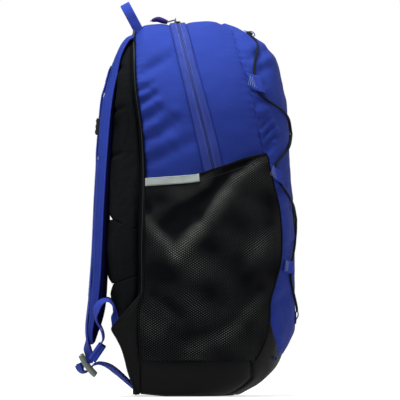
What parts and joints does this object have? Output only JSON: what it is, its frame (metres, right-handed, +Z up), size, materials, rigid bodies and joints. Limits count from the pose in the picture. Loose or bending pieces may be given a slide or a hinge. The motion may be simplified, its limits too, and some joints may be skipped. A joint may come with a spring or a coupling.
{
  "type": "daypack",
  "caption": "Upright zip-front daypack with a laced front, mesh side pockets, padded back, shoulder straps with a sternum strap, and waist webbing.",
  "frame": {"origin": "centre of the flat base, on the surface that the pack stands on", "axes": "+Z up, +Y towards the wearer (the padded back), -Y to the laced front, +X to the wearer's right"},
  "size_m": [0.3048, 0.2878, 0.5132],
  "materials": {
    "blue_fabric": "matte",
    "blue_webbing": "matte",
    "coated_fabric": "satin",
    "back_mesh": "matte",
    "pocket_mesh": "matte",
    "lining_fabric": "matte",
    "elastic_cord": "matte",
    "pull_cord": "matte",
    "zip_coil": "matte",
    "reflective_tape": "satin",
    "black_plastic": "satin",
    "grey_plastic": "satin"
  },
  "bodies": {
    "pack": {"base_wall_left": "coated_fabric", "base_wall_right": "coated_fabric", "base_wall_front": "coated_fabric", "base_floor": "coated_fabric", "base_wall_rear": "coated_fabric", "base_wing_left": "coated_fabric", "base_wing_right": "coated_fabric", "side_panel_left": "blue_fabric", "side_panel_right": "blue_fabric", "front_gusset_left": "blue_fabric", "front_gusset_right": "blue_fabric", "crown_panel": "blue_fabric", "front_panel_lower": "blue_fabric", "zip_track_rear": "zip_coil", "pocket_mesh_left": "pocket_mesh", "pocket_mesh_right": "pocket_mesh", "reflective_strip_left": "reflective_tape", "reflective_strip_right": "reflective_tape", "back_panel": "back_mesh", "back_pad_lower": "back_mesh", "back_pad_middle": "back_mesh", "back_pad_upper": "back_mesh", "laptop_sleeve": "lining_fabric", "adjuster_webbing_left": "blue_webbing", "adjuster_webbing_right": "blue_webbing", "waist_strap_left": "blue_webbing", "waist_strap_right": "blue_webbing", "lace_cord_lower": "elastic_cord", "lace_tab_mid_left": "blue_webbing", "lace_tab_mid_right": "blue_webbing", "lace_tab_low_left": "blue_webbing", "lace_tab_low_right": "blue_webbing", "lace_tab_bottom": "blue_webbing"},
    "front_flap": {"flap_gusset": "blue_fabric", "front_panel_upper": "blue_fabric", "zip_track_front": "zip_coil", "lace_cord_upper": "elastic_cord", "lace_tab_high_left": "blue_webbing", "lace_tab_high_right": "blue_webbing", "lace_tab_top": "blue_webbing"},
    "grab_loop": {"grab_loop": "blue_webbing"},
    "zip_slider_left": {"zip_slider_left": "black_plastic"},
    "zip_pull_left": {"zip_pull_left": "pull_cord"},
    "strap_left": {"shoulder_strap_left": "blue_fabric", "strap_lining_left": "lining_fabric", "strap_tape_left": "blue_webbing"},
    "sternum_left": {"sternum_slider_left": "black_plastic", "sternum_webbing_left": "blue_webbing", "buckle_female": "black_plastic"},
    "ladder_lock_left": {"ladder_lock_left": "grey_plastic"},
    "zip_slider_right": {"zip_slider_right": "black_plastic"},
    "zip_pull_right": {"zip_pull_right": "pull_cord"},
    "strap_right": {"shoulder_strap_right": "blue_fabric", "strap_lining_right": "lining_fabric", "strap_tape_right": "blue_webbing"},
    "sternum_right": {"sternum_slider_right": "black_plastic", "sternum_webbing_right": "blue_webbing"},
    "ladder_lock_right": {"ladder_lock_right": "grey_plastic"},
    "buckle_male": {"buckle_male": "black_plastic"}
  },
  "joints": [
    {"name": "front_flap_open", "type": "hinge", "parent": "pack", "child": "front_flap", "pos_m": [0, -0.126, 0.318], "axis": [1, 0, 0], "range_deg": [0, 45]},
    {"name": "grab_loop_fold", "type": "hinge", "parent": "pack", "child": "grab_loop", "pos_m": [0, 0.07, 0.4785], "axis": [1, 0, 0], "range_deg": [-40, 55]},
    {"name": "zip_slider_left_run", "type": "hinge", "parent": "front_flap", "child": "zip_slider_left", "pos_m": [-0.004, -0.00879, 0.36384], "axis": [0, -0.9701, 0.2425], "range_deg": [0, 70]},
    {"name": "zip_pull_left_flip", "type": "hinge", "parent": "zip_slider_left", "child": "zip_pull_left", "pos_m": [-0.009, 0.02381, 0.48896], "axis": [1, 0, 0], "range_deg": [0, 170]},
    {"name": "zip_slider_right_run", "type": "hinge", "parent": "front_flap", "child": "zip_slider_right", "pos_m": [0.004, -0.00879, 0.36384], "axis": [0, 0.9701, -0.2425], "range_deg": [0, 70]},
    {"name": "zip_pull_right_flip", "type": "hinge", "parent": "zip_slider_right", "child": "zip_pull_right", "pos_m": [0.009, 0.02381, 0.48896], "axis": [1, 0, 0], "range_deg": [0, 170]},
    {"name": "strap_left_swing", "type": "hinge", "parent": "pack", "child": "strap_left", "pos_m": [-0.045, 0.084, 0.465], "axis": [1, 0, 0], "range_deg": [0, 12], "deforming": ["adjuster_webbing_left"]},
    {"name": "sternum_left_slide", "type": "slide", "parent": "strap_left", "child": "sternum_left", "axis": [0, -0.0956, 0.9954], "range_m": [-0.025, 0.025]},
    {"name": "ladder_lock_left_tilt", "type": "hinge", "parent": "strap_left", "child": "ladder_lock_left", "pos_m": [-0.098, 0.13889, 0.04121], "axis": [1, 0, 0], "range_deg": [-35, 12]},
    {"name": "strap_right_swing", "type": "hinge", "parent": "pack", "child": "strap_right", "pos_m": [0.045, 0.084, 0.465], "axis": [1, 0, 0], "range_deg": [0, 12], "deforming": ["adjuster_webbing_right"]},
    {"name": "sternum_right_slide", "type": "slide", "parent": "strap_right", "child": "sternum_right", "axis": [0, -0.0956, 0.9954], "range_m": [-0.025, 0.025]},
    {"name": "ladder_lock_right_tilt", "type": "hinge", "parent": "strap_right", "child": "ladder_lock_right", "pos_m": [0.098, 0.13889, 0.04121], "axis": [1, 0, 0], "range_deg": [-35, 12]},
    {"name": "buckle_release", "type": "slide", "parent": "sternum_right", "child": "buckle_male", "axis": [1, 0, 0], "range_m": [0, 0.011], "deforming": ["sternum_webbing_right"]}
  ],
  "couplings": [
    {"joint": "strap_right_swing", "follows": "strap_left_swing", "ratio": 1},
    {"joint": "sternum_right_slide", "follows": "sternum_left_slide", "ratio": 1}
  ]
}
